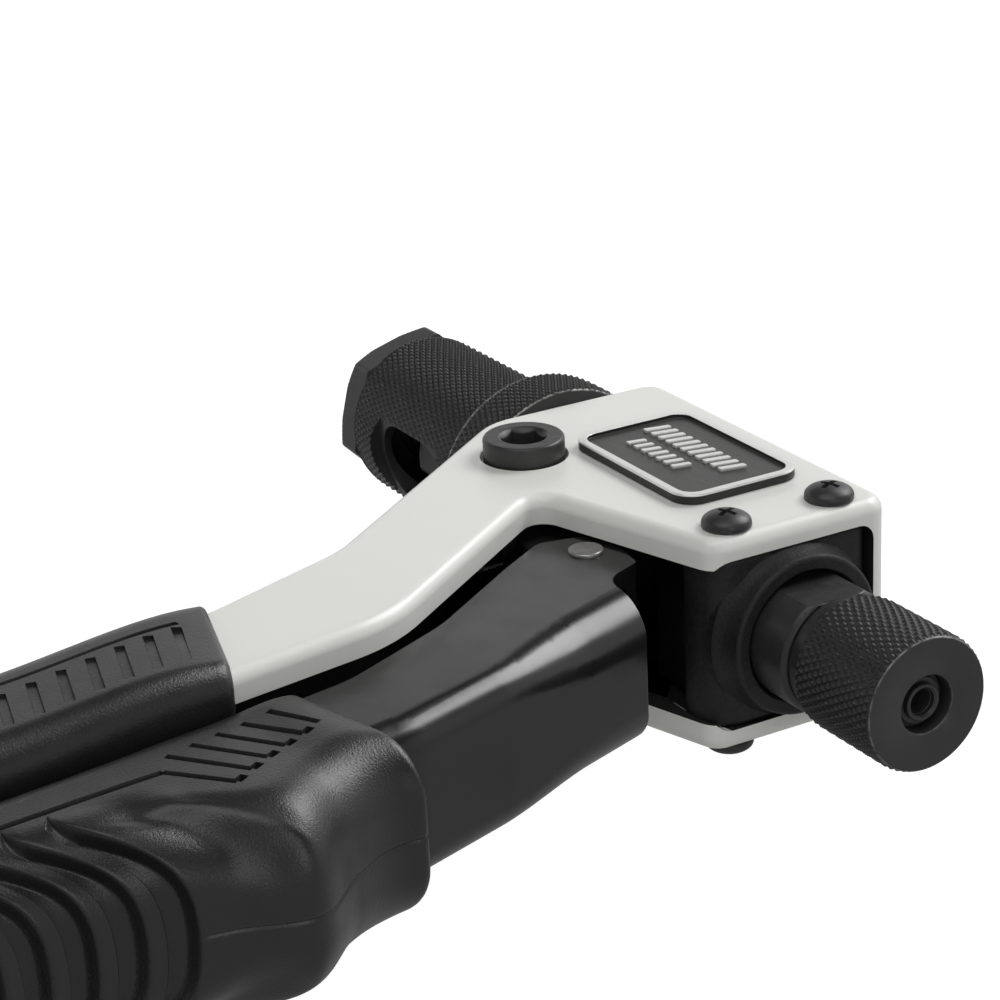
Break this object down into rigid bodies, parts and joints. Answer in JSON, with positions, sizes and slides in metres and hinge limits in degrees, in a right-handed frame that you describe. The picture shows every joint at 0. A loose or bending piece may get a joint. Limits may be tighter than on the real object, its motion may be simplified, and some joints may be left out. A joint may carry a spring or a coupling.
{
  "type": "hand riveter",
  "caption": "Two-handle setting tool for threaded rivet nuts, with a lever that pulls a mandrel through a knurled nose sleeve and a knob that spins it out.",
  "frame": {"origin": "on the pulling axis, at the front face of the nosepiece", "axes": "+X along the pulling axis and out of the nose, +Y from the head to the handles, +Z out of the plate that carries the nameplate"},
  "size_m": [0.204, 0.3284, 0.0418],
  "materials": {
    "white_paint": "satin light grey paint",
    "lever_paint": "gloss black paint",
    "black_casting": "fine-grained black",
    "black_oxide": "black oxide",
    "zinc_steel": "bright zinc",
    "grip_rubber": "fine-grained matte black",
    "plate_metal": "bright rim round a dark grained field"
  },
  "bodies": {
    "frame": {"frame": "white_paint", "head_insert": "black_casting", "nameplate": "plate_metal", "plate_screws": "black_oxide", "pivot_bolt": "black_oxide", "pivot_nut": "black_oxide", "pivot_bush": "zinc_steel", "pivot_washers": "zinc_steel", "nose_barrel": "black_oxide", "fixed_grip": "grip_rubber", "return_spring": "zinc_steel"},
    "lock_ring": {"lock_ring": "black_oxide"},
    "nose_sleeve": {"nose_sleeve": "black_oxide", "nosepiece": "zinc_steel"},
    "lever": {"lever": "lever_paint", "lever_grip": "grip_rubber", "yoke_plates": "black_oxide", "yoke_rivet": "zinc_steel"},
    "pull_rod": {"pull_rod": "black_oxide", "thrust_washer": "black_oxide"},
    "spindle": {"spindle": "black_oxide", "spin_knob": "black_oxide", "spindle_clip": "zinc_steel", "mandrel_holder": "black_oxide", "mandrel": "zinc_steel"}
  },
  "joints": [
    {"name": "lever_hinge", "type": "hinge", "parent": "frame", "child": "lever", "pos_m": [-0.08, 0.0185, 0], "axis": [0, 0, 1], "range_deg": [0, 13.5]},
    {"name": "rod_slide", "type": "slide", "parent": "frame", "child": "pull_rod", "axis": [1, 0, 0], "range_m": [0, 0.0044]},
    {"name": "spindle_spin", "type": "hinge", "parent": "pull_rod", "child": "spindle", "pos_m": [-0.11, 0, 0], "axis": [1, 0, 0], "continuous": true},
    {"name": "sleeve_turn", "type": "hinge", "parent": "frame", "child": "nose_sleeve", "pos_m": [-0.03, 0, 0], "axis": [1, 0, 0], "continuous": true},
    {"name": "ring_turn", "type": "hinge", "parent": "frame", "child": "lock_ring", "pos_m": [-0.057, 0, 0], "axis": [1, 0, 0], "continuous": true}
  ],
  "couplings": [
    {"joint": "rod_slide", "follows": "lever_hinge", "m_per_rad": 0.018629}
  ]
}
